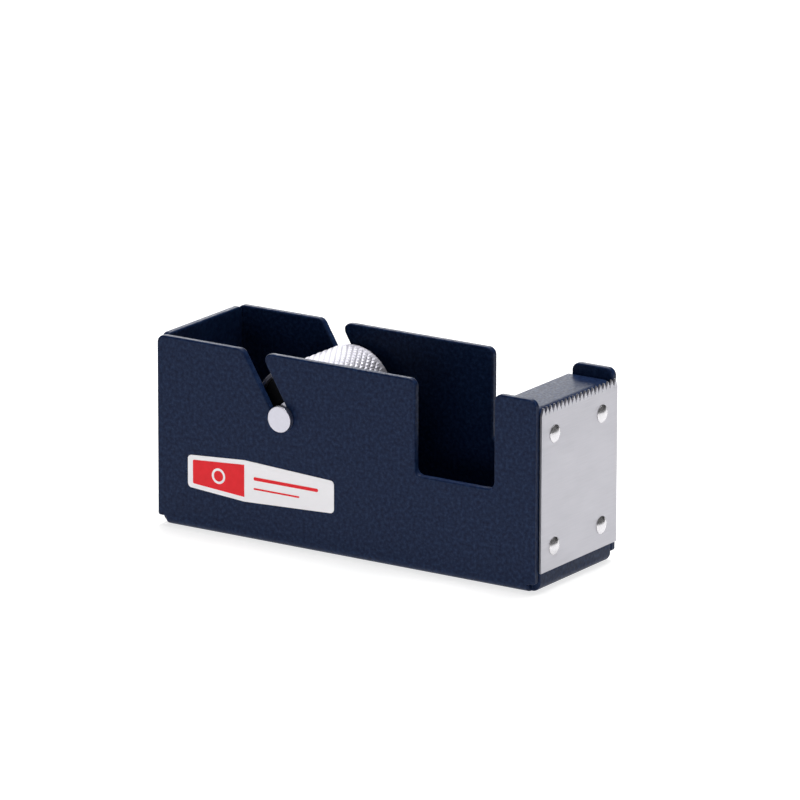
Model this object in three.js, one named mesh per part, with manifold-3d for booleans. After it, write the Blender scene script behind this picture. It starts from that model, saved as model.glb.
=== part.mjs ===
// Desk tape dispenser: a body folded from one steel sheet, a toothed cutter blade held by four rivets,
// and a knurled drum that turns on a spindle lifted out through two slanted slots.
// Millimetres, +Z up, +X towards the blade. The origin is the middle of the footprint, on the desk.
import * as THREE from "three";
import { mergeVertices } from "three/addons/utils/BufferGeometryUtils.js";
import Module from "manifold-3d";

const wasm = await Module();
wasm.setup();

// ---- Driving dimensions -------------------------------------------------------------------------
// Body: heights are measured from the underside of the sheet, lengths from its rear face.
const BODY_LENGTH = 120;
const BODY_WIDTH = 40;
const BODY_HEIGHT = 52.5;
const SHEET = 2.1;
const INNER_BEND = 0.3; // inner radius of every fold
const WALL_CORNER = 2.1; // radius of the side walls' upper corners
const FOOT_CORNER = 0.7; // radius of the side walls' lower corners, above the corner reliefs
const REAR_CORNER = 1.5; // radius of the rear wall's upper corners
const EAR_SETBACK = 0.15; // from the front wall's face back to the side walls' front edges

// Thumb gap in both side walls, between the roll bay and the tape rest.
const GAP_LENGTH = 24.7;
const GAP_FLOOR = 26.5; // height of its lower edge
const EAR_LENGTH = 12.9; // what is left of each wall beside the tape rest

// Tape rest: the front wall folded back between the ears.
const REST_DROP = 3; // from the top of the ears down to the rest
const REST_LENGTH = 13.8;

// Cutter blade and its rivets.
const BLADE_THICKNESS = 0.65;
const BLADE_LAP = 0.65; // how far each end would cover a side wall's edge if the blade were central
const BLADE_OFFSET = 0.6; // from the middle of the body towards the far wall
const BLADE_FOOT = 5.2; // height of its lower edge
const TOOTH_COUNT = 20;
const TOOTH_DEPTH = 2.2;
const TOOTH_RISE = 0.5; // tips above the tape rest
const RIVET_FROM_WALL = 6.3; // in from the inner face of each side wall
const RIVET_FROM_FOOT = 6.2; // lower row, up from the blade's lower edge
const RIVET_FROM_TIPS = 8.1; // upper row, down from the teeth
const RIVET_SHANK = 2.8;
const RIVET_HEAD = 4.9;
const RIVET_DOME = 1;
const RIVET_TAIL = 4.4;
const RIVET_TAIL_HEIGHT = 0.9;
const RIVET_HOLE_PLAY = 0.1; // radial

// Spindle and its slots.
const SPINDLE_FROM_REAR = 40.6;
const SPINDLE_HEIGHT = 35.6;
const SPINDLE_DIAMETER = 4.8;
const SLOT_PLAY = 0.1; // radial
const SLOT_LEAN = THREE.MathUtils.degToRad(31); // backwards from upright
const SPINDLE_SIDE_PLAY = 0.2; // from a side wall to the head outside it
const HEAD_DIAMETER = 7.2;
const HEAD_THICKNESS = 1.65;
const HEAD_EDGE = 0.2; // bevel round the outer face
const SPIGOT_DIAMETER = 3;
const SPIGOT_LENGTH = 0.8;

// Drum: a tube with a hub pressed into each end.
const DRUM_DIAMETER = 25.5; // just under the bore of a small tape core
const DRUM_SIDE_GAP = 3.7; // from each end of the tube to the inner face of a wall
const DRUM_WALL = 1.2;
const DRUM_EDGE = 0.3; // bevel round each end
const HUB_INSET = 1.4; // from the end of the tube in to the web
const HUB_WEB = 2;
const HUB_RIM_DEPTH = 4;
const HUB_RIM = 1.2;
const HUB_FIT = 0.05; // radial, hub in tube
const HUB_BOSS_DIAMETER = 8;
const BORE_PLAY = 0.06; // radial, hub on spindle
const WASHER_DIAMETER = 7.6;
const WASHER_THICKNESS = 0.8;
const WASHER_SIDE_GAP = 1; // from the washer to the wall
const WASHER_GAP = 0.3; // from the hub's boss to the washer

// Label on the near wall: an elongated hexagon, its widest point in line with the block's inner end.
const LABEL_THICKNESS = 0.15;
const LABEL_FROM_REAR = 10;
const LABEL_MIDDLE = 16.65; // height of its centre line above the desk
const LABEL_LENGTH = 47;
const LABEL_HEIGHT = 11.5;
const LABEL_END_HEIGHT = 8.9;
const LABEL_PEAK = 18.3; // from its rear end to the widest point
const LABEL_CORNER = 1.2;
const BLOCK_SIDE_MARGIN = 1.7; // in from the label's rear end
const BLOCK_EDGE_MARGIN = 1.3; // in from its upper and lower edges
const BLOCK_THICKNESS = 0.05;

// Non-slip pad under the base.
const PAD_THICKNESS = 0.3;
const PAD_MARGIN = 4.5; // from the body's outline in to the pad
const PAD_CORNER = 3;

// Facets to a full turn, and half the facets to a rounded corner.
const FINE = 64;
const COARSE = 24;
const CORNER = 3;

// ---- Derived places -----------------------------------------------------------------------------
const HALF_WIDTH = BODY_WIDTH / 2;
const INNER_HALF = HALF_WIDTH - SHEET;
const BEND_RADIUS = SHEET + INNER_BEND;
const END_HALF = HALF_WIDTH - BEND_RADIUS; // the end walls stop where the side folds begin
const REAR_X = -(BODY_LENGTH + BLADE_THICKNESS + RIVET_DOME) / 2; // the outline is centred on X = 0
const FRONT_X = REAR_X + BODY_LENGTH;
const BASE_Z = PAD_THICKNESS;
const SPINDLE_X = REAR_X + SPINDLE_FROM_REAR;
const SPINDLE_Z = BASE_Z + SPINDLE_HEIGHT;
const SLOT_RADIUS = SPINDLE_DIAMETER / 2 + SLOT_PLAY;
const REST_TOP = BODY_HEIGHT - REST_DROP;
const GAP_FRONT = BODY_LENGTH - EAR_LENGTH;
const GAP_REAR = GAP_FRONT - GAP_LENGTH;
const BLADE_HALF = INNER_HALF + BLADE_LAP;
const TOOTH_TIPS = REST_TOP + TOOTH_RISE;
const HEAD_SEAT = HALF_WIDTH + SPINDLE_SIDE_PLAY;
const DRUM_HALF = INNER_HALF - DRUM_SIDE_GAP;
const WEB_FACE = DRUM_HALF - HUB_INSET;
const WASHER_SEAT = INNER_HALF - WASHER_SIDE_GAP - WASHER_THICKNESS;
const BOSS_LENGTH = WASHER_SEAT - WASHER_GAP - WEB_FACE;

// ---- Materials ----------------------------------------------------------------------------------
function paint(color, metalness, roughness) {
  return new THREE.MeshStandardMaterial({ color, metalness, roughness });
}
const navyPaint = paint(0x232a45, 0.1, 0.45);
const bladeSteel = paint(0xc6c8cc, 1, 0.38);
const brightSteel = paint(0xd9dadc, 1, 0.25);
const knurledSteel = paint(0xcfd0d3, 1, 0.32);
const blackPlastic = paint(0x141416, 0, 0.6);
const labelWhite = paint(0xf3f1ee, 0, 0.35);
const labelColour = paint(0xb3202c, 0, 0.35);
const padRubber = paint(0x1b1b1d, 0, 0.85);

// ---- Solids -------------------------------------------------------------------------------------
function solid(geometry) {
  const bare = geometry.clone();
  bare.deleteAttribute("normal");
  bare.deleteAttribute("uv");
  const merged = mergeVertices(bare, 1e-4);
  return new wasm.Manifold(
    new wasm.Mesh({
      numProp: 3,
      vertProperties: merged.attributes.position.array,
      triVerts: new Uint32Array(merged.index.array),
    }),
  );
}

function geometryOf(manifold) {
  const mesh = manifold.getMesh();
  const geometry = new THREE.BufferGeometry();
  geometry.setAttribute("position", new THREE.BufferAttribute(mesh.vertProperties, 3));
  geometry.setIndex(new THREE.BufferAttribute(mesh.triVerts, 1));
  geometry.computeVertexNormals();
  return geometry;
}

// A flat outline made solid from 0 to depth along Z.
function plate(shape, depth) {
  return new THREE.ExtrudeGeometry(shape, { depth, bevelEnabled: false, curveSegments: CORNER });
}

// An outline drawn in X and Z made solid across the width, centred on Y = 0.
function acrossY(shape, width) {
  return plate(shape, width).rotateX(Math.PI / 2).translate(0, width / 2, 0);
}

// An outline drawn in Y and Z made solid from 0 to length along X.
function alongX(shape, length) {
  return plate(shape, length).rotateX(Math.PI / 2).rotateZ(Math.PI / 2);
}

// A closed half-section of [radius, height] points spun about Z.
function turned(points, segments = FINE) {
  const profile = points.map(([radius, height]) => new THREE.Vector2(radius, height));
  return new THREE.LatheGeometry([...profile, profile[0]], segments).rotateX(Math.PI / 2);
}

// A polygon with a radius at each corner; points are [x, y, radius].
function rounded(points) {
  const shape = new THREE.Shape();
  points.forEach(([x, y, radius = 0], i) => {
    const here = new THREE.Vector2(x, y);
    const [px, py] = points[(i + points.length - 1) % points.length];
    const [nx, ny] = points[(i + 1) % points.length];
    const back = new THREE.Vector2(px, py).sub(here).normalize();
    const on = new THREE.Vector2(nx, ny).sub(here).normalize();
    if (radius === 0) {
      if (i === 0) shape.moveTo(x, y);
      else shape.lineTo(x, y);
      return;
    }
    const half = Math.acos(THREE.MathUtils.clamp(back.dot(on), -1, 1)) / 2;
    const centre = back.clone().add(on).normalize().multiplyScalar(radius / Math.sin(half)).add(here);
    const reach = radius / Math.tan(half);
    const start = back.clone().multiplyScalar(reach).add(here);
    const end = on.clone().multiplyScalar(reach).add(here);
    if (i === 0) shape.moveTo(start.x, start.y);
    else shape.lineTo(start.x, start.y);
    const from = Math.atan2(start.y - centre.y, start.x - centre.x);
    const to = Math.atan2(end.y - centre.y, end.x - centre.x);
    shape.absarc(centre.x, centre.y, radius, from, to, back.cross(on) > 0);
  });
  shape.closePath();
  return shape;
}

// ---- Body ---------------------------------------------------------------------------------------
// The U that the base and both side walls make, in Y and Z.
function channelSection() {
  return rounded([
    [HALF_WIDTH, BODY_HEIGHT],
    [INNER_HALF, BODY_HEIGHT],
    [INNER_HALF, SHEET, INNER_BEND],
    [-INNER_HALF, SHEET, INNER_BEND],
    [-INNER_HALF, BODY_HEIGHT],
    [-HALF_WIDTH, BODY_HEIGHT],
    [-HALF_WIDTH, 0, BEND_RADIUS],
    [HALF_WIDTH, 0, BEND_RADIUS],
  ]);
}

// The side view: the walls' outline with the slot and the thumb gap, and the base between the reliefs.
function sideOutline() {
  const run = Math.tan(SLOT_LEAN);
  const mouth = SPINDLE_FROM_REAR - (BODY_HEIGHT - SPINDLE_HEIGHT) * run;
  const halfMouth = SLOT_RADIUS / Math.cos(SLOT_LEAN);
  const across = new THREE.Vector2(Math.cos(SLOT_LEAN), Math.sin(SLOT_LEAN)).multiplyScalar(SLOT_RADIUS);
  const axis = new THREE.Vector2(SPINDLE_FROM_REAR, SPINDLE_HEIGHT);
  const foot = BEND_RADIUS;
  const front = BODY_LENGTH - EAR_SETBACK;
  const corner = WALL_CORNER;
  return rounded([
    [0, foot, FOOT_CORNER],
    [foot, foot],
    [foot, 0],
    [BODY_LENGTH - foot, 0],
    [BODY_LENGTH - foot, foot],
    [front, foot, FOOT_CORNER],
    [front, BODY_HEIGHT, corner],
    [GAP_FRONT, BODY_HEIGHT, corner],
    [GAP_FRONT, GAP_FLOOR, corner],
    [GAP_REAR, GAP_FLOOR, corner],
    [GAP_REAR, BODY_HEIGHT, corner],
    [mouth + halfMouth, BODY_HEIGHT, corner],
    [axis.x + across.x, axis.y + across.y],
    [axis.x - across.x, axis.y - across.y],
    [mouth - halfMouth, BODY_HEIGHT, corner],
    [0, BODY_HEIGHT, corner],
  ]);
}

// The rear wall with its fold, in X and Z; it runs a little way under the base to join it.
function rearSection() {
  return rounded([
    [0, BODY_HEIGHT],
    [0, 0, BEND_RADIUS],
    [2 * BEND_RADIUS, 0],
    [2 * BEND_RADIUS, SHEET],
    [SHEET, SHEET, INNER_BEND],
    [SHEET, BODY_HEIGHT],
  ]);
}

// The front wall, folded up from the base and back over as the tape rest, in X and Z.
function frontSection() {
  const front = BODY_LENGTH;
  return rounded([
    [front - 2 * BEND_RADIUS, 0],
    [front, 0, BEND_RADIUS],
    [front, REST_TOP, BEND_RADIUS],
    [front - REST_LENGTH, REST_TOP],
    [front - REST_LENGTH, REST_TOP - SHEET],
    [front - SHEET, REST_TOP - SHEET, INNER_BEND],
    [front - SHEET, SHEET, INNER_BEND],
    [front - 2 * BEND_RADIUS, SHEET],
  ]);
}

// An outline in X and Z made solid between the side folds.
function endWall(section) {
  return solid(acrossY(section, 2 * END_HALF));
}

// The rear wall seen from behind, in Y and Z, with its upper corners rounded.
function rearOutline() {
  return rounded([
    [-END_HALF, 0],
    [END_HALF, 0],
    [END_HALF, BODY_HEIGHT, REAR_CORNER],
    [-END_HALF, BODY_HEIGHT, REAR_CORNER],
  ]);
}

function rivetPlaces() {
  const y = INNER_HALF - RIVET_FROM_WALL;
  const rows = [BLADE_FOOT + RIVET_FROM_FOOT, TOOTH_TIPS - RIVET_FROM_TIPS];
  return rows.flatMap((height) => [[-y, height], [y, height]]);
}

// A round bar along X, long enough to pass through the blade and the front wall.
function rivetHole(y, height, from) {
  const length = 8 * SHEET;
  const bar = new THREE.CylinderGeometry(
    RIVET_SHANK / 2 + RIVET_HOLE_PLAY,
    RIVET_SHANK / 2 + RIVET_HOLE_PLAY,
    length,
    COARSE,
  );
  return solid(bar.rotateZ(Math.PI / 2).translate(from, y, height));
}

// The round end of the slot, across both side walls.
function slotEnd() {
  const bar = new THREE.CylinderGeometry(SLOT_RADIUS, SLOT_RADIUS, 2 * BODY_WIDTH, FINE);
  return solid(bar.translate(SPINDLE_FROM_REAR, 0, 0).translate(0, 0, SPINDLE_HEIGHT));
}

function bodyShell() {
  const channel = solid(alongX(channelSection(), BODY_LENGTH));
  let body = channel.intersect(solid(acrossY(sideOutline(), 2 * BODY_WIDTH)));
  body = body.subtract(slotEnd());
  const rear = endWall(rearSection()).intersect(solid(alongX(rearOutline(), BODY_LENGTH)));
  body = body.add(rear).add(endWall(frontSection()));
  for (const [y, height] of rivetPlaces()) body = body.subtract(rivetHole(y, height, BODY_LENGTH));
  return geometryOf(body);
}

// ---- Blade and rivets ---------------------------------------------------------------------------
// The blade's outline in Y and Z: a plain plate with a row of teeth along the top.
function bladePlate() {
  const half = BLADE_HALF;
  const pitch = (2 * half) / TOOTH_COUNT;
  const root = TOOTH_TIPS - TOOTH_DEPTH;
  const shape = new THREE.Shape();
  shape.moveTo(-half, BLADE_FOOT);
  shape.lineTo(half, BLADE_FOOT);
  shape.lineTo(half, root);
  for (let i = 0; i < TOOTH_COUNT; i++) {
    const start = half - i * pitch;
    shape.lineTo(start - pitch / 2, TOOTH_TIPS);
    shape.lineTo(start - pitch, root);
  }
  shape.closePath();
  let blade = solid(alongX(shape, BLADE_THICKNESS).translate(0, BLADE_OFFSET, 0));
  for (const [y, height] of rivetPlaces()) blade = blade.subtract(rivetHole(y, height, 0));
  return geometryOf(blade);
}

// A rivet along +Z from the outer face of the blade: dome above, shank and upset tail below.
function rivet() {
  const grip = BLADE_THICKNESS + SHEET;
  const headRadius = RIVET_HEAD / 2;
  const ball = (headRadius ** 2 + RIVET_DOME ** 2) / (2 * RIVET_DOME);
  const reach = Math.asin(headRadius / ball);
  const steps = 6;
  const points = [
    [0, -grip - RIVET_TAIL_HEIGHT],
    [RIVET_TAIL / 2, -grip - RIVET_TAIL_HEIGHT],
    [RIVET_TAIL / 2, -grip],
    [RIVET_SHANK / 2, -grip],
    [RIVET_SHANK / 2, 0],
  ];
  for (let i = 0; i < steps; i++) {
    const angle = reach * (1 - i / steps);
    points.push([ball * Math.sin(angle), RIVET_DOME - ball + ball * Math.cos(angle)]);
  }
  points.push([0, RIVET_DOME]);
  return turned(points, COARSE);
}

// ---- Spindle and drum ---------------------------------------------------------------------------
// These are turned about Z and laid along Y by the group that holds them.

function spindleRod() {
  const radius = SPINDLE_DIAMETER / 2;
  const spigot = SPIGOT_DIAMETER / 2;
  const end = HEAD_SEAT + SPIGOT_LENGTH;
  return turned([
    [0, -end],
    [spigot, -end],
    [spigot, -HEAD_SEAT],
    [radius, -HEAD_SEAT],
    [radius, HEAD_SEAT],
    [spigot, HEAD_SEAT],
    [spigot, end],
    [0, end],
  ]);
}

// A flat head with a blind hole for the spigot, its outer face up.
function spindleHead() {
  const radius = HEAD_DIAMETER / 2;
  const spigot = SPIGOT_DIAMETER / 2;
  return turned([
    [spigot, 0],
    [radius, 0],
    [radius, HEAD_THICKNESS - HEAD_EDGE],
    [radius - HEAD_EDGE, HEAD_THICKNESS],
    [0, HEAD_THICKNESS],
    [0, SPIGOT_LENGTH],
    [spigot, SPIGOT_LENGTH],
  ]);
}

function drumTube() {
  const outer = DRUM_DIAMETER / 2;
  const inner = outer - DRUM_WALL;
  return turned([
    [inner, -DRUM_HALF],
    [outer - DRUM_EDGE, -DRUM_HALF],
    [outer, DRUM_EDGE - DRUM_HALF],
    [outer, DRUM_HALF - DRUM_EDGE],
    [outer - DRUM_EDGE, DRUM_HALF],
    [inner, DRUM_HALF],
  ]);
}

// A hub: web and rim inside the tube, boss running outwards on the spindle. Outside is up.
function drumHub() {
  const bore = SPINDLE_DIAMETER / 2 + BORE_PLAY;
  const rim = DRUM_DIAMETER / 2 - DRUM_WALL - HUB_FIT;
  const boss = HUB_BOSS_DIAMETER / 2;
  return turned([
    [bore, -HUB_RIM_DEPTH],
    [boss, -HUB_RIM_DEPTH],
    [boss, -HUB_WEB],
    [rim - HUB_RIM, -HUB_WEB],
    [rim - HUB_RIM, -HUB_RIM_DEPTH],
    [rim, -HUB_RIM_DEPTH],
    [rim, 0],
    [boss, 0],
    [boss, BOSS_LENGTH],
    [bore, BOSS_LENGTH],
  ]);
}

function washer() {
  const bore = SPINDLE_DIAMETER / 2 + BORE_PLAY;
  return turned(
    [
      [bore, 0],
      [WASHER_DIAMETER / 2, 0],
      [WASHER_DIAMETER / 2, WASHER_THICKNESS],
      [bore, WASHER_THICKNESS],
    ],
    FINE,
  );
}

// ---- Label and pad ------------------------------------------------------------------------------
// The label's upper or lower edge at a distance from its rear end, as a height from its centre line.
function labelEdge(distance) {
  const ends = LABEL_END_HEIGHT / 2;
  const rise = LABEL_HEIGHT / 2 - ends;
  const rising = distance / LABEL_PEAK;
  const falling = (LABEL_LENGTH - distance) / (LABEL_LENGTH - LABEL_PEAK);
  return ends + rise * Math.min(rising, falling);
}

function labelSheet() {
  const ends = LABEL_END_HEIGHT / 2;
  const peak = LABEL_HEIGHT / 2;
  return rounded([
    [0, -ends, LABEL_CORNER],
    [LABEL_PEAK, -peak],
    [LABEL_LENGTH, -ends, LABEL_CORNER],
    [LABEL_LENGTH, ends, LABEL_CORNER],
    [LABEL_PEAK, peak],
    [0, ends, LABEL_CORNER],
  ]);
}

// The coloured block keeps its margins inside the label's edges and stops at the widest point.
function labelBlock() {
  const low = labelEdge(BLOCK_SIDE_MARGIN) - BLOCK_EDGE_MARGIN;
  const high = labelEdge(LABEL_PEAK) - BLOCK_EDGE_MARGIN;
  return rounded([
    [BLOCK_SIDE_MARGIN, -low],
    [LABEL_PEAK, -high],
    [LABEL_PEAK, high],
    [BLOCK_SIDE_MARGIN, low],
  ]);
}

function basePad() {
  const near = BODY_WIDTH / 2 - PAD_MARGIN;
  return rounded([
    [PAD_MARGIN, -near, PAD_CORNER],
    [BODY_LENGTH - PAD_MARGIN, -near, PAD_CORNER],
    [BODY_LENGTH - PAD_MARGIN, near, PAD_CORNER],
    [PAD_MARGIN, near, PAD_CORNER],
  ]);
}

// ---- Assembly -----------------------------------------------------------------------------------
const dispenser = new THREE.Group();

function place(name, geometry, material, parent = dispenser) {
  const mesh = new THREE.Mesh(geometry, material.clone());
  mesh.name = name;
  parent.add(mesh);
  return mesh;
}

// Everything fixed to the sheet hangs from its rear lower edge.
const body = new THREE.Group();
body.position.set(REAR_X, 0, BASE_Z);
dispenser.add(body);

place("body_shell", bodyShell(), navyPaint, body);
place("cutter_blade", bladePlate(), bladeSteel, body).position.x = BODY_LENGTH;
rivetPlaces().forEach(([y, height], i) => {
  const mesh = place(`blade_rivet_${i + 1}`, rivet(), brightSteel, body);
  mesh.position.set(BODY_LENGTH + BLADE_THICKNESS, y, height);
  mesh.rotation.y = Math.PI / 2;
});
const pad = place("base_pad", plate(basePad(), PAD_THICKNESS), padRubber, body);
pad.position.z = -PAD_THICKNESS;

// The label's own Z is the near wall's outward normal.
const label = new THREE.Group();
label.position.set(LABEL_FROM_REAR, -HALF_WIDTH, LABEL_MIDDLE - PAD_THICKNESS);
label.rotation.x = Math.PI / 2;
body.add(label);
place("label_sheet", plate(labelSheet(), LABEL_THICKNESS), labelWhite, label);
place("label_block", plate(labelBlock(), BLOCK_THICKNESS), labelColour, label).position.z = LABEL_THICKNESS;

// The spindle's own Z runs along Y, and the drum turns about it.
const spindle = new THREE.Group();
spindle.position.set(SPINDLE_X, 0, SPINDLE_Z);
spindle.rotation.x = Math.PI / 2;
dispenser.add(spindle);
place("spindle_rod", spindleRod(), brightSteel, spindle);
place("drum_tube", drumTube(), knurledSteel, spindle);

for (const [side, name] of [[1, "near"], [-1, "far"]]) {
  const end = new THREE.Group();
  end.rotation.x = side > 0 ? 0 : Math.PI;
  spindle.add(end);
  place(`drum_hub_${name}`, drumHub(), blackPlastic, end).position.z = WEB_FACE;
  place(`spindle_washer_${name}`, washer(), brightSteel, end).position.z = WASHER_SEAT;
  place(`spindle_head_${name}`, spindleHead(), brightSteel, end).position.z = HEAD_SEAT;
}

export default dispenser;
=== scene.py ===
import math

import bmesh
import bpy
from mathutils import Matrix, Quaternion, Vector


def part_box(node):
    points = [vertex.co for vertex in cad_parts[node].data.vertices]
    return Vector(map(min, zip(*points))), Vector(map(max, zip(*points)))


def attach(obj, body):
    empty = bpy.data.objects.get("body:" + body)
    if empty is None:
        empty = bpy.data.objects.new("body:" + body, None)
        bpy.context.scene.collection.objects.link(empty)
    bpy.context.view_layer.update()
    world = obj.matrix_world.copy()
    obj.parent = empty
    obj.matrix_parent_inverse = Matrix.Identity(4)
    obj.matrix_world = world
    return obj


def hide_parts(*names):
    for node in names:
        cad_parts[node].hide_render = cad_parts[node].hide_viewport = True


# A desk tape dispenser: a folded sheet-metal body in navy powder coat, a toothed steel blade under four
# domed rivets, and a knurled drum on a spindle that lifts out of two slanted slots.
# Lengths are in metres; X runs from the rear wall to the blade, and Y to the far wall.

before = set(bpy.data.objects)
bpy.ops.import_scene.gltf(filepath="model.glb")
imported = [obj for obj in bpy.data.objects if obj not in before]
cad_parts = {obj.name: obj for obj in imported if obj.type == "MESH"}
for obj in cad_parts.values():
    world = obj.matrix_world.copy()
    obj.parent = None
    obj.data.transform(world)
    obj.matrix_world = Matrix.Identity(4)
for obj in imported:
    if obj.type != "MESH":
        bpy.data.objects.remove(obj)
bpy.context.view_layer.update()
MM = 0.001
WELD = MM / 1000  # points nearer than this are one point
X, Y, Z = Vector((1, 0, 0)), Vector((0, 1, 0)), Vector((0, 0, 1))
ENDS = (("near", -1), ("far", 1))  # each end of the spindle, and its way out along Y

# ---- Driving dimensions -------------------------------------------------------------------------
SHELL_LO, SHELL_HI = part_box("body_shell")
BLADE_LO, BLADE_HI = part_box("cutter_blade")
ROD_LO, ROD_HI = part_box("spindle_rod")
DRUM_LO, DRUM_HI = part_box("drum_tube")

SHEET = 2.1 * MM
BEND = 2.4 * MM  # outer radius of every fold
WALL_CORNER = 2.1 * MM
FOOT_CORNER = 0.7 * MM
REAR_CORNER = 1.5 * MM
PAINTED_EDGE = 0.5 * MM  # how far the coat rounds the sheet's cut edges
GAP_LENGTH = 24.7 * MM
GAP_FLOOR = 26.5 * MM
EAR_LENGTH = 12.9 * MM
EAR_SETBACK = 0.15 * MM  # side walls' front edges behind the front wall's face
REST_DROP = 3 * MM
REST_LENGTH = 13.8 * MM
SLOT_RADIUS = 2.5 * MM
SLOT_LEAN = math.radians(31)

TOOTH_COUNT = 20
TOOTH_DEPTH = 2.2 * MM
BLADE_EDGE = 0.07 * MM

RIVET_HEAD = 4.9 * MM
RIVET_SHANK = 2.8 * MM
RIVET_DOME = 1 * MM
RIVET_RIM = 0.12 * MM  # upright edge below the dome
RIVET_TAIL = 4.4 * MM
RIVET_EDGE = 0.08 * MM

ROD_EDGE = 0.15 * MM
HEAD_EDGE = 0.22 * MM
WASHER_EDGE = 0.12 * MM
RUNNING_GAP = 0.06 * MM  # between the rod and what turns on it
KNURL_COUNT = 48  # grooves of one hand round the drum
KNURL_DEPTH = 0.16 * MM
KNURL_ANGLE = math.radians(30)  # between a groove and the drum's axis
KNURL_LAND = 0.16  # flat left on each point, as a share of the distance between points
DRUM_WALL = 1.2 * MM
DRUM_RIM = 0.25 * MM  # plain band at each end of the knurl
DRUM_CHAMFER = 0.25 * MM
HUB_INSET = 1.4 * MM
HUB_WEB = 2 * MM
HUB_RIM = 1.2 * MM
HUB_RIM_DEPTH = 4 * MM
HUB_BOSS = 4 * MM  # radius
HUB_EDGE = 0.2 * MM

LABEL_PEAK = 18.3 * MM
LABEL_END_HEIGHT = 8.9 * MM
LABEL_CORNER = 1.2 * MM
LABEL_EDGE = 0.05 * MM
BLOCK_CORNER = 0.4 * MM
PRINT = 0.02 * MM  # thickness of what is printed on the label
RING_BORE = 1.5 * MM
RING_RADIUS = 2.15 * MM
RULE_START = 3 * MM  # from the coloured block
RULES = (  # name, height above the middle, weight, gap left at its end
    ("long", 1.1 * MM, 0.95 * MM, 5 * MM),
    ("short", -1.7 * MM, 0.5 * MM, 11 * MM),
)
PAD_CORNER = 3 * MM
PAD_EDGE = 0.08 * MM

FLOOR_REACH = 6
PAPER_TONE = 0.45
PAPER_GLOW = 0.74
PATCH_RIM = 0.78  # cosine at which the dark patch of the surroundings begins
PATCH_CORE = 0.97  # cosine at which it is darkest

# ---- Derived places -----------------------------------------------------------------------------
REAR, FRONT = SHELL_LO.x, SHELL_HI.x
BASE, TOP = SHELL_LO.z, SHELL_HI.z
HALF_WIDTH = SHELL_HI.y
END_HALF = HALF_WIDTH - BEND
REST_TOP = TOP - REST_DROP
AXLE = (ROD_LO + ROD_HI) / 2
AXIS = Vector((AXLE.x, 0, AXLE.z))  # where the spindle crosses the middle of the body
ROD_RADIUS = (ROD_HI.z - ROD_LO.z) / 2
DRUM_RADIUS = (DRUM_HI.z - DRUM_LO.z) / 2
DRUM_HALF = DRUM_HI.y


# ---- Making pieces ------------------------------------------------------------------------------
def added(name, data):
    """Puts a new object with this data in the scene."""
    made = bpy.data.objects.new(name, data)
    bpy.context.collection.objects.link(made)
    return made


def finished(name, bm, body, material, replaces=(), sharp=30):
    """Makes an object of the mesh, gives it its finish and sets it on its body."""
    mesh = bpy.data.meshes.new(name)
    bm.to_mesh(mesh)
    bm.free()
    mesh.shade_smooth()
    mesh.set_sharp_from_angle(angle=math.radians(sharp))
    mesh.materials.append(material)
    piece = added(name, mesh)
    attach(piece, body)
    if replaces:
        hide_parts(*replaces)
    return piece


def soften(piece, width, segments=3, angle=40):
    """Rounds every sharp edge of a finished piece and keeps its flats flat."""
    bevel = piece.modifiers.new("edge", "BEVEL")
    bevel.width = width
    bevel.segments = segments
    bevel.limit_method = "ANGLE"
    bevel.angle_limit = math.radians(angle)
    bevel.harden_normals = True
    bevel.use_clamp_overlap = False


def turned(points, origin, axis, steps=96, closed=False):
    """Spins a half-section of (radius, distance along the axis) points about the axis."""
    bm = bmesh.new()
    out = axis.orthogonal().normalized()
    verts = [bm.verts.new(origin + out * radius + axis * along) for radius, along in points]
    edges = [bm.edges.new(pair) for pair in zip(verts, verts[1:])]
    if closed:
        edges.append(bm.edges.new((verts[-1], verts[0])))
    bmesh.ops.spin(bm, geom=verts + edges, cent=origin, axis=axis, angle=math.tau, steps=steps,
                   use_merge=True, use_duplicate=False)
    bmesh.ops.remove_doubles(bm, verts=bm.verts, dist=WELD)
    bmesh.ops.recalc_face_normals(bm, faces=bm.faces)
    return bm


def round_corner(bm, vert, radius, segments=8):
    """Rounds one corner of a flat panel's outline."""
    one, other = [edge.other_vert(vert).co - vert.co for edge in vert.link_edges]
    reach = radius / math.tan(one.angle(other) / 2)
    bmesh.ops.bevel(bm, geom=[vert], affect="VERTICES", offset=reach, offset_type="OFFSET",
                    segments=segments, profile=0.5, material=-1)


def panel(bm, outline, fold=()):
    """A flat face from the verts of a fold, if any, and an outline of (place, corner radius)."""
    fresh = [bm.verts.new(place) for place, _ in outline]
    face = bm.faces.new([*fold, *fresh])
    for vert, (_, radius) in zip(fresh, outline):
        if radius:
            round_corner(bm, vert, radius)
    return face


def slab(outline, along):
    """A flat outline given a thickness."""
    bm = bmesh.new()
    panel(bm, outline)
    made = bmesh.ops.extrude_face_region(bm, geom=bm.faces[:])
    verts = [item for item in made["geom"] if isinstance(item, bmesh.types.BMVert)]
    bmesh.ops.translate(bm, verts=verts, vec=along)
    bmesh.ops.remove_doubles(bm, verts=bm.verts, dist=WELD)
    bmesh.ops.recalc_face_normals(bm, faces=bm.faces)
    return bm


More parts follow.
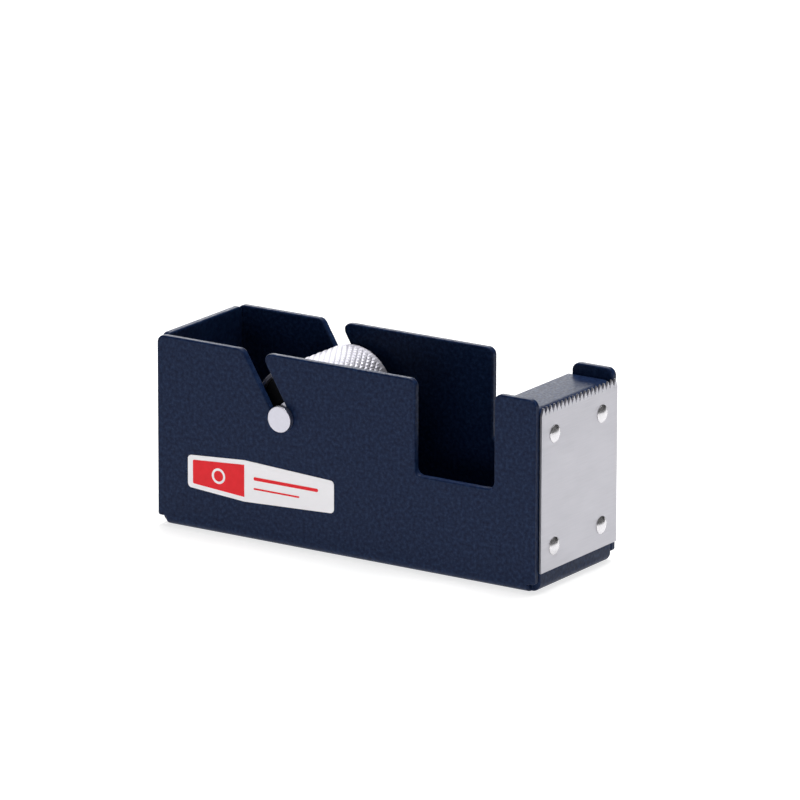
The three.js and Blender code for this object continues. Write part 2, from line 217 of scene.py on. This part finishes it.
# ---- Finishes -----------------------------------------------------------------------------------
class Finish:
    """A material on one Principled shader, with short calls for the nodes that vary it."""

    def __init__(self, name, color, roughness, metallic=0.0, **sockets):
        self.material = bpy.data.materials.new(name)
        self.material.use_nodes = True
        self.tree = self.material.node_tree
        self.shader = self.tree.nodes["Principled BSDF"]
        self.shader.inputs["Base Color"].default_value = (*color, 1)
        self.shader.inputs["Roughness"].default_value = roughness
        self.shader.inputs["Metallic"].default_value = metallic
        for socket, value in sockets.items():
            self.shader.inputs[socket.replace("_", " ")].default_value = value
        self.place = self.node("ShaderNodeTexCoord").outputs["Object"]
        self.bumps = None

    def node(self, kind, **settings):
        made = self.tree.nodes.new(kind)
        for key, value in settings.items():
            setattr(made, key, value)
        return made

    def join(self, source, target):
        self.tree.links.new(source, target)

    def mapped(self, location=(0, 0, 0), scale=(1, 1, 1)):
        mapping = self.node("ShaderNodeMapping")
        mapping.inputs["Location"].default_value = location
        mapping.inputs["Scale"].default_value = scale
        self.join(self.place, mapping.inputs["Vector"])
        return mapping.outputs["Vector"]

    def noise(self, size, detail=2.0, rough=0.5, vector=None):
        made = self.node("ShaderNodeTexNoise")
        made.inputs["Scale"].default_value = 1 / size
        made.inputs["Detail"].default_value = detail
        made.inputs["Roughness"].default_value = rough
        self.join(vector or self.place, made.inputs["Vector"])
        return made.outputs["Fac"]

    def cells(self, size):
        made = self.node("ShaderNodeTexVoronoi", feature="F1")
        made.inputs["Scale"].default_value = 1 / size
        self.join(self.place, made.inputs["Vector"])
        return made.outputs["Distance"]

    def ramp(self, factor, stops):
        made = self.node("ShaderNodeValToRGB")
        elements = made.color_ramp.elements
        while len(elements) < len(stops):
            elements.new(0.5)
        for element, (at, color) in zip(elements, stops):
            element.position = at
            element.color = (*color, 1) if isinstance(color, tuple) else (color, color, color, 1)
        self.join(factor, made.inputs["Fac"])
        return made.outputs["Color"]

    def spread(self, factor, low, high, start=0.0, end=1.0):
        made = self.node("ShaderNodeMapRange")
        limits = {"From Min": start, "From Max": end, "To Min": low, "To Max": high}
        for socket, value in limits.items():
            made.inputs[socket].default_value = value
        self.join(factor, made.inputs["Value"])
        return made.outputs["Result"]

    def color(self, output):
        self.join(output, self.shader.inputs["Base Color"])

    def roughness(self, output):
        self.join(output, self.shader.inputs["Roughness"])

    def bump(self, height, depth):
        made = self.node("ShaderNodeBump")
        made.inputs["Distance"].default_value = depth
        made.inputs["Strength"].default_value = 1
        self.join(height, made.inputs["Height"])
        if self.bumps:
            self.join(self.bumps, made.inputs["Normal"])
        self.bumps = made.outputs["Normal"]
        self.join(self.bumps, self.shader.inputs["Normal"])


def navy_coat():
    """Powder coat: tiny pits and a mottle of lighter blue."""
    coat = Finish("navy_coat", (0.0062, 0.0135, 0.043), 0.36, Specular_IOR_Level=0.11)
    mottle = coat.noise(1.0 * MM, 3.0, 0.6)
    coat.color(coat.ramp(mottle, [(0.3, (0.002, 0.0065, 0.03)), (0.5, (0.0055, 0.0145, 0.047)),
                                  (0.7, (0.012, 0.027, 0.074))]))
    coat.roughness(coat.spread(coat.noise(0.7 * MM, 2.0), 0.30, 0.46, 0.3, 0.7))
    coat.bump(coat.noise(0.85 * MM, 2.0, 0.5), 0.03 * MM)
    coat.bump(coat.noise(5 * MM, 1.0), 0.05 * MM)
    return coat.material


def blade_steel():
    """Cold-rolled strip with fine grain along its length."""
    steel = Finish("blade_steel", (0.455, 0.45, 0.485), 0.42, 1.0)
    grain = steel.noise(0.35 * MM, 3.0, 0.6, steel.mapped(scale=(1, 0.035, 1)))
    cloud = steel.noise(14 * MM, 2.0)
    steel.color(steel.ramp(cloud, [(0.3, (0.445, 0.44, 0.475)), (0.7, (0.47, 0.465, 0.5))]))
    steel.roughness(steel.spread(grain, 0.36, 0.48, 0.3, 0.7))
    steel.bump(grain, 0.004 * MM)
    return steel.material


def bright_steel(name, color, level):
    """Turned and polished steel with the faintest scratches."""
    steel = Finish(name, color, level, 1.0)
    wear = steel.noise(1.6 * MM, 3.0, 0.7)
    dark, light = (tuple(part * share for part in color) for share in (0.96, 1.04))
    steel.color(steel.ramp(wear, [(0.35, dark), (0.65, light)]))
    steel.roughness(steel.spread(wear, level - 0.04, level + 0.06, 0.3, 0.7))
    steel.bump(steel.noise(0.25 * MM, 2.0, 0.6), 0.003 * MM)
    return steel.material


def knurl_metal():
    """Painted shade: darker down in the grooves and lighter on the points, by distance from the drum's
    axis.
    """
    metal = Finish("knurl_metal", (0.88, 0.87, 0.93), 0.32, 1.0)
    centred = metal.mapped(location=(-AXLE.x, 0, -AXLE.z), scale=(1, 0, 1))
    reach = metal.node("ShaderNodeVectorMath", operation="LENGTH")
    metal.join(centred, reach.inputs[0])
    height = metal.spread(reach.outputs["Value"], 0, 1, DRUM_RADIUS - KNURL_DEPTH, DRUM_RADIUS)
    # painted shade: the colour ramp darkens the grooves by their depth and lightens the points
    metal.color(metal.ramp(height, [(0.0, (0.45, 0.44, 0.49)), (0.45, (0.66, 0.65, 0.71)),
                                    (0.9, (0.8, 0.79, 0.85))]))
    metal.roughness(metal.spread(height, 0.52, 0.4))
    metal.bump(metal.noise(0.2 * MM, 2.0, 0.6), 0.004 * MM)
    return metal.material


def hub_plastic():
    """Moulded black plastic, lightly spark-textured."""
    plastic = Finish("hub_plastic", (0.008, 0.008, 0.009), 0.5, Specular_IOR_Level=0.3)
    grain = plastic.noise(0.3 * MM, 2.0)
    plastic.color(plastic.ramp(grain, [(0.3, (0.005, 0.005, 0.006)), (0.7, (0.012, 0.012, 0.013))]))
    plastic.roughness(plastic.spread(grain, 0.42, 0.6, 0.3, 0.7))
    plastic.bump(grain, 0.02 * MM)
    return plastic.material


def printed_film(name, dark, light, roughness):
    """Satin printed film, not quite even in tone or level."""
    film = Finish(name, light, roughness, Specular_IOR_Level=0.2)
    tone = film.noise(2.2 * MM, 3.0, 0.6)
    film.color(film.ramp(tone, [(0.3, dark), (0.7, light)]))
    film.roughness(film.spread(tone, roughness - 0.05, roughness + 0.08, 0.3, 0.7))
    film.bump(film.noise(3.5 * MM, 1.0), 0.01 * MM)
    film.bump(film.noise(0.4 * MM, 2.0), 0.002 * MM)
    return film.material


def pad_rubber():
    """Matt foamed rubber with small open cells, with painted shade in each cell."""
    rubber = Finish("pad_rubber", (0.014, 0.014, 0.015), 0.85, Specular_IOR_Level=0.3)
    pores = rubber.cells(0.6 * MM)
    # painted shade: the colour is darkest at the centre of each pore, where the bump sinks
    rubber.color(rubber.ramp(pores, [(0.1, (0.006, 0.006, 0.007)), (0.6, (0.02, 0.02, 0.022))]))
    rubber.roughness(rubber.spread(pores, 0.8, 0.95))
    rubber.bump(pores, 0.08 * MM)
    return rubber.material


NAVY = navy_coat()
BLADE = blade_steel()
RIVET = bright_steel("rivet_steel", (0.64, 0.63, 0.65), 0.25)
BRIGHT = bright_steel("spindle_steel", (0.57, 0.565, 0.63), 0.36)
KNURL = knurl_metal()
PLASTIC = hub_plastic()
WHITE_FILM = printed_film("white_film", (0.94, 0.925, 0.95), (0.96, 0.945, 0.97), 0.4)
RED_FILM = printed_film("red_film", (0.78, 0.012, 0.02), (0.84, 0.016, 0.026), 0.4)
RUBBER = pad_rubber()


# ---- Body ---------------------------------------------------------------------------------------
def fold_up(bm, edge, centre, axis, degrees, steps=10):
    """Bends sheet from an edge about an axis; gives the fold's last edge."""
    made = bmesh.ops.spin(bm, geom=[*edge.verts, edge], cent=centre, axis=axis, angle=math.radians(degrees),
                          steps=steps, use_merge=False, use_duplicate=False)
    return next(item for item in made["geom_last"] if isinstance(item, bmesh.types.BMEdge))


def side_wall(bm, edge, y):
    """A side wall above its fold, with the spindle's slot, the thumb gap and the ear."""
    rear_end, front_end = sorted(edge.verts, key=lambda vert: vert.co.x)
    lean = Vector((-math.sin(SLOT_LEAN), 0, math.cos(SLOT_LEAN)))
    across = Vector((math.cos(SLOT_LEAN), 0, math.sin(SLOT_LEAN))) * SLOT_RADIUS
    bottom = AXLE - lean * SLOT_RADIUS

    def mouth(side):
        start = bottom + across * side
        return start + lean * ((TOP - start.z) / lean.z)

    front = FRONT - EAR_SETBACK
    gap_front = FRONT - EAR_LENGTH
    gap_rear = gap_front - GAP_LENGTH
    gap_floor = BASE + GAP_FLOOR
    fold_top = BASE + BEND
    corners = [
        ((front, y, fold_top), FOOT_CORNER),
        ((front, y, TOP), WALL_CORNER),
        ((gap_front, y, TOP), WALL_CORNER),
        ((gap_front, y, gap_floor), WALL_CORNER),
        ((gap_rear, y, gap_floor), WALL_CORNER),
        ((gap_rear, y, TOP), WALL_CORNER),
        (mouth(1), WALL_CORNER),
        (bottom + across, SLOT_RADIUS),
        (bottom - across, SLOT_RADIUS),
        (mouth(-1), WALL_CORNER),
        ((REAR, y, TOP), WALL_CORNER),
        ((REAR, y, fold_top), FOOT_CORNER),
    ]
    outline = [(Vector((place[0], y, place[2])), radius) for place, radius in corners]
    panel(bm, outline, (rear_end, front_end))


def end_wall(bm, edge, x, top, corner):
    """A wall across the end, above its fold."""
    fold = sorted(edge.verts, key=lambda vert: vert.co.y)
    outline = [(Vector((x, END_HALF, top)), corner), (Vector((x, -END_HALF, top)), corner)]
    return panel(bm, outline, fold)


def folded_body():
    """The whole sheet, drawn as its outer face: the base, its four folds and walls, and the tape rest."""
    bm = bmesh.new()
    rear, front = REAR + BEND, FRONT - BEND
    corners = [(rear, -END_HALF), (front, -END_HALF), (front, END_HALF), (rear, END_HALF)]
    base = panel(bm, [(Vector((x, y, BASE)), 0) for x, y in corners])
    near_edge, front_edge, far_edge, rear_edge = list(base.edges)
    level = BASE + BEND
    near = fold_up(bm, near_edge, (0, -END_HALF, level), X, -90)
    far = fold_up(bm, far_edge, (0, END_HALF, level), X, 90)
    side_wall(bm, near, -HALF_WIDTH)
    side_wall(bm, far, HALF_WIDTH)
    back = fold_up(bm, rear_edge, (rear, 0, level), Y, 90)
    end_wall(bm, back, REAR, TOP, REAR_CORNER)
    face = fold_up(bm, front_edge, (front, 0, level), Y, -90)
    front_wall = end_wall(bm, face, FRONT, REST_TOP - BEND, 0)
    brow = max(front_wall.edges, key=lambda rim: sum(vert.co.z for vert in rim.verts))
    lip = fold_up(bm, brow, (front, 0, REST_TOP - BEND), Y, -90)
    back_of_rest = FRONT - REST_LENGTH
    outline = [(Vector((back_of_rest, y, REST_TOP)), 0) for y in (END_HALF, -END_HALF)]
    panel(bm, outline, sorted(lip.verts, key=lambda vert: vert.co.y))
    bmesh.ops.remove_doubles(bm, verts=bm.verts, dist=WELD)
    bmesh.ops.recalc_face_normals(bm, faces=bm.faces)
    bottom = min(bm.faces, key=lambda part: part.calc_center_median().z)
    if bottom.normal.z > 0:
        bmesh.ops.reverse_faces(bm, faces=bm.faces)
    piece = finished("folded_body", bm, "body", NAVY, ["body_shell"], sharp=50)
    sheet = piece.modifiers.new("sheet", "SOLIDIFY")
    sheet.thickness = SHEET
    sheet.offset = -1
    sheet.use_even_offset = True
    soften(piece, PAINTED_EDGE, 4, 50)


# ---- Blade and rivets ---------------------------------------------------------------------------
def toothed_blade():
    """A flat plate with teeth along its top edge."""
    tips, foot, near, far = BLADE_HI.z, BLADE_LO.z, BLADE_LO.y, BLADE_HI.y
    pitch = (far - near) / TOOTH_COUNT
    root = tips - TOOTH_DEPTH
    outline = [(near, root), (near, foot), (far, foot), (far, root)]
    for tooth in range(TOOTH_COUNT):
        start = far - tooth * pitch
        outline.append((start - pitch / 2, tips))
        if tooth < TOOTH_COUNT - 1:
            outline.append((start - pitch, root))
    places = [(Vector((BLADE_LO.x, y, z)), 0) for y, z in outline]
    bm = slab(places, X * (BLADE_HI.x - BLADE_LO.x))
    piece = finished("toothed_blade", bm, "body", BLADE, ["cutter_blade"])
    soften(piece, BLADE_EDGE, 2, 30)


def domed_rivet(node):
    """Dome on the blade, shank through blade and wall, and the tail spread behind."""
    low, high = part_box(node)
    centre = Vector((BLADE_HI.x, (low.y + high.y) / 2, (low.z + high.z) / 2))
    radius, rise = RIVET_HEAD / 2, RIVET_DOME - RIVET_RIM
    ball = (radius**2 + rise**2) / (2 * rise)
    reach = math.asin(radius / ball)
    back = -(BLADE_HI.x - FRONT) - SHEET
    tail = low.x - BLADE_HI.x
    points = [(0, tail), (RIVET_TAIL / 2, tail), (RIVET_TAIL / 2, back), (RIVET_SHANK / 2, back),
              (RIVET_SHANK / 2, 0), (radius, 0)]
    steps = 10
    for step in range(steps):
        angle = reach * (1 - step / steps)
        points.append((ball * math.sin(angle), RIVET_DOME - ball + ball * math.cos(angle)))
    points.append((0, RIVET_DOME))
    bm = turned(points, centre, X, 48)
    piece = finished(f"domed_{node}", bm, "body", RIVET, [node], sharp=35)
    soften(piece, RIVET_EDGE, 2, 50)


# ---- Spindle ------------------------------------------------------------------------------------
def outward(side):
    """The way out along the spindle on the near side (-1) or the far side (1)."""
    return Y * side


def spindle():
    """The rod, with a disc head and a washer at each end."""
    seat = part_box("spindle_head_far")[0].y
    bar = [(0, -seat), (ROD_RADIUS, -seat), (ROD_RADIUS, seat), (0, seat)]
    rod = finished("ground_rod", turned(bar, AXIS, Y), "spindle", BRIGHT, ["spindle_rod"])
    soften(rod, ROD_EDGE)
    for end, side in ENDS:
        low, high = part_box(f"spindle_head_{end}")
        radius, thick = (high.z - low.z) / 2, high.y - low.y
        face = [(0, 0), (radius, 0), (radius, thick), (0, thick)]
        bm = turned(face, AXIS + outward(side) * seat, outward(side))
        head = finished(f"disc_head_{end}", bm, "spindle", BRIGHT, [f"spindle_head_{end}"])
        soften(head, HEAD_EDGE, 4)
        low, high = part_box(f"spindle_washer_{end}")
        radius, bore = (high.z - low.z) / 2, ROD_RADIUS + RUNNING_GAP
        inner, outer = sorted((abs(low.y), abs(high.y)))
        ring = [(bore, inner), (radius, inner), (radius, outer), (bore, outer)]
        bm = turned(ring, AXIS, outward(side), closed=True)
        washer = finished(f"thrust_washer_{end}", bm, "spindle", BRIGHT,
                          [f"spindle_washer_{end}"])
        soften(washer, WASHER_EDGE)


# ---- Drum ---------------------------------------------------------------------------------------
def knurled_drum():
    """A tube whose outside is a lattice of small pyramids between two hands of grooves."""
    columns = 2 * KNURL_COUNT
    knurl_half = DRUM_HALF - DRUM_RIM
    round_step = math.tau * DRUM_RADIUS / columns
    rows = 2 * round(knurl_half / (round_step / math.tan(KNURL_ANGLE)))
    bm = bmesh.new()
    bmesh.ops.create_grid(bm, x_segments=columns, y_segments=rows, size=1)
    valley = DRUM_RADIUS - KNURL_DEPTH
    valleys = set()
    for vert in bm.verts:
        column = round((vert.co.x + 1) / 2 * columns)
        row = round((vert.co.y + 1) / 2 * rows)
        raised = (column + row) % 2 == 1 and 0 < row < rows
        radius = DRUM_RADIUS if raised else valley
        angle = math.tau * column / columns
        along = (row / rows * 2 - 1) * knurl_half
        vert.co = AXLE + Vector((radius * math.cos(angle), along, radius * math.sin(angle)))
        if not raised:
            valleys.add(vert)
    for face in list(bm.faces):
        low = [vert for vert in face.verts if vert in valleys]
        if len(low) == 2:
            bmesh.utils.face_split(face, *low)
    bmesh.ops.remove_doubles(bm, verts=bm.verts, dist=WELD)
    halfway = valley + KNURL_DEPTH / 2
    points = [vert for vert in bm.verts if (vert.co - AXLE - Y * vert.co.y).length > halfway]
    bmesh.ops.bevel(bm, geom=points, affect="VERTICES", offset=KNURL_LAND * 2 * round_step, segments=1,
                    profile=0.5, material=-1)
    close_drum(bm, valley)
    finished("knurled_drum", bm, "drum", KNURL, ["drum_tube"], sharp=12)


def close_drum(bm, valley):
    """Adds the plain rims, the end faces and the bore to the knurled outside."""
    bore = DRUM_RADIUS - DRUM_WALL
    lead_in = DRUM_CHAMFER / 2
    profile = [(valley, DRUM_HALF - DRUM_CHAMFER), (valley - DRUM_CHAMFER, DRUM_HALF),
               (bore + lead_in, DRUM_HALF), (bore, DRUM_HALF - lead_in)]
    loops = []
    for side in (-1, 1):
        loop = [item for item in bm.edges if item.is_boundary and item.verts[0].co.y * side > 0]
        for radius, along in profile:
            made = bmesh.ops.extrude_edge_only(bm, edges=loop)
            loop = [item for item in made["geom"] if isinstance(item, bmesh.types.BMEdge)]
            for vert in {vert for item in loop for vert in item.verts}:
                out = Vector((vert.co.x - AXLE.x, 0, vert.co.z - AXLE.z)).normalized()
                vert.co = Vector((AXLE.x, along * side, AXLE.z)) + out * radius
        loops += loop
    bmesh.ops.bridge_loops(bm, edges=loops)
    bmesh.ops.recalc_face_normals(bm, faces=bm.faces)


def drum_hub(end, side):
    """Web and rim inside the drum, and the boss that runs out along the spindle."""
    low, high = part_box(f"drum_hub_{end}")
    rim = (high.z - low.z) / 2
    outer = max(abs(low.y), abs(high.y))
    face = DRUM_HALF - HUB_INSET
    bore = ROD_RADIUS + RUNNING_GAP
    points = [(bore, face - HUB_RIM_DEPTH), (HUB_BOSS, face - HUB_RIM_DEPTH), (HUB_BOSS, face - HUB_WEB),
              (rim - HUB_RIM, face - HUB_WEB), (rim - HUB_RIM, face - HUB_RIM_DEPTH),
              (rim, face - HUB_RIM_DEPTH), (rim, face), (HUB_BOSS, face), (HUB_BOSS, outer), (bore, outer)]
    bm = turned(points, AXIS, outward(side), closed=True)
    piece = finished(f"moulded_hub_{end}", bm, "drum", PLASTIC, [f"drum_hub_{end}"])
    soften(piece, HUB_EDGE)


# ---- Label and pad ------------------------------------------------------------------------------
def label():
    """A white hexagon with a coloured block, and a plain ring and rules in place of any wording."""
    low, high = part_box("label_sheet")
    wall, face = high.y, low.y
    middle = (low.z + high.z) / 2
    peak, ends = (high.z - low.z) / 2, LABEL_END_HEIGHT / 2

    def on_wall(points, y):
        return [(Vector((low.x + x, y, middle + z)), radius) for x, z, radius in points]

    length = high.x - low.x
    hexagon = [(0, -ends, LABEL_CORNER), (LABEL_PEAK, -peak, 0), (length, -ends, LABEL_CORNER),
               (length, ends, LABEL_CORNER), (LABEL_PEAK, peak, 0), (0, ends, LABEL_CORNER)]
    bm = slab(on_wall(hexagon, wall), Y * (face - wall))
    sheet = finished("label_film", bm, "body", WHITE_FILM, ["label_sheet"])
    soften(sheet, LABEL_EDGE, 2, 50)

    block_low, block_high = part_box("label_block")
    start, stop = block_low.x - low.x, block_high.x - low.x
    tall = (block_high.z - block_low.z) / 2
    short = tall - (peak - ends) * (stop - start) / LABEL_PEAK
    quad = [(start, -short, BLOCK_CORNER), (stop, -tall, 0), (stop, tall, 0), (start, short, BLOCK_CORNER)]
    bm = slab(on_wall(quad, face), Y * (block_low.y - face))
    finished("label_colour_block", bm, "body", RED_FILM, ["label_block"])

    centre = Vector((low.x + (start + stop) / 2, block_low.y, middle))
    ring = [(RING_BORE, 0), (RING_RADIUS, 0), (RING_RADIUS, PRINT), (RING_BORE, PRINT)]
    bm = turned(ring, centre, -Y, 64, closed=True)
    finished("label_ring", bm, "body", WHITE_FILM)

    for name, height, weight, gap in RULES:
        left, right = stop + RULE_START, length - gap
        under, over = height - weight / 2, height + weight / 2
        corner = weight / 2.1  # just under half, so that the corners don't meet
        bar = [(left, under, corner), (right, under, corner), (right, over, corner), (left, over, corner)]
        bm = slab(on_wall(bar, face), -Y * PRINT)
        finished(f"label_rule_{name}", bm, "body", RED_FILM)


def base_pad():
    """The thin pad that the dispenser stands on."""
    low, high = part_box("base_pad")
    places = [(low.x, low.y), (high.x, low.y), (high.x, high.y), (low.x, high.y)]
    bm = slab([(Vector((x, y, low.z)), PAD_CORNER) for x, y in places], Z * (high.z - low.z))
    piece = finished("grip_pad", bm, "body", RUBBER, ["base_pad"])
    soften(piece, PAD_EDGE)


# ---- Studio -------------------------------------------------------------------------------------
def studio_floor():
    """White paper under the object, giving off a little light."""
    bm = bmesh.new()
    bmesh.ops.create_grid(bm, x_segments=1, y_segments=1, size=FLOOR_REACH)
    mesh = bpy.data.meshes.new("studio_floor")
    bm.to_mesh(mesh)
    bm.free()
    paper = Finish("studio_paper", (PAPER_TONE, PAPER_TONE, PAPER_TONE), 0.9, Specular_IOR_Level=0.0)
    paper.shader.inputs["Emission Color"].default_value = (1, 1, 1, 1)
    paper.shader.inputs["Emission Strength"].default_value = PAPER_GLOW
    paper.bump(paper.noise(40 * MM, 2.0), 0.02 * MM)
    mesh.materials.append(paper.material)
    floor = added("studio_floor", mesh)


def soft_light(name, place, aim, size, power):
    """A square-cornered soft box, out of the camera's sight."""
    data = bpy.data.lights.new(name, "AREA")
    data.shape = "RECTANGLE"
    data.size, data.size_y = size
    data.energy = power
    lamp = added(name, data)
    lamp.location = place
    lamp.rotation_mode = "QUATERNION"
    lamp.rotation_quaternion = (Vector(aim) - Vector(place)).to_track_quat("-Z", "Y")
    lamp.visible_camera = False


def surroundings(brightness, shade, toward):
    """Even light all round, but for one dark patch in the direction given."""
    world = bpy.data.worlds.new("studio")
    world.use_nodes = True
    tree = world.node_tree
    place = tree.nodes.new("ShaderNodeTexCoord")
    facing = tree.nodes.new("ShaderNodeVectorMath")
    facing.operation = "DOT_PRODUCT"
    facing.inputs[1].default_value = Vector(toward).normalized()
    fade = tree.nodes.new("ShaderNodeMapRange")
    fade.interpolation_type = "SMOOTHSTEP"
    limits = {"From Min": PATCH_RIM, "From Max": PATCH_CORE, "To Min": brightness, "To Max": shade}
    for socket, value in limits.items():
        fade.inputs[socket].default_value = value
    tree.links.new(place.outputs["Generated"], facing.inputs[0])
    tree.links.new(facing.outputs["Value"], fade.inputs["Value"])
    tree.links.new(fade.outputs["Result"], tree.nodes["Background"].inputs["Strength"])
    tree.nodes["Background"].inputs["Color"].default_value = (1, 1, 1, 1)
    bpy.context.scene.world = world


def long_lens(azimuth, elevation, roll, distance, lens, aim):
    """The camera, looking at a point from the side and height given in degrees."""
    data = bpy.data.cameras.new("camera")
    data.lens = lens
    data.sensor_width = 36
    camera = added("camera", data)
    across, up = math.radians(azimuth), math.radians(elevation)
    back = Vector((math.sin(across) * math.cos(up), -math.cos(across) * math.cos(up), math.sin(up)))
    camera.location = Vector(aim) + back * distance
    camera.rotation_mode = "QUATERNION"
    camera.rotation_quaternion = (-back).to_track_quat("-Z", "Y") @ Quaternion(Z, math.radians(roll))
    bpy.context.scene.camera = camera


# ---- Assembly -----------------------------------------------------------------------------------
long_lens(azimuth=33.34, elevation=15.47, roll=0.13, distance=2.217, lens=375.6,
          aim=(0.00233, 0.00226, 0.03923))
folded_body()
toothed_blade()
for number in range(1, 5):
    domed_rivet(f"blade_rivet_{number}")
spindle()
knurled_drum()
for end, side in ENDS:
    drum_hub(end, side)
label()
base_pad()

studio_floor()
surroundings(0.15, 0.02, toward=(0.2, 0.97, 0.07))
soft_light("overhead", (-0.05, 0.3, 1.35), (0, 0, 0), (0.8, 0.8), 26)
soft_light("backdrop", (-0.7, 1.06, 0.36), (0, 0, 0.04), (1.1, 0.5), 5.6)
soft_light("front", (0.5, -1.35, 0.22), (0, 0, 0.03), (0.5, 0.25), 2.8)
bpy.context.scene.view_settings.view_transform = "Standard"
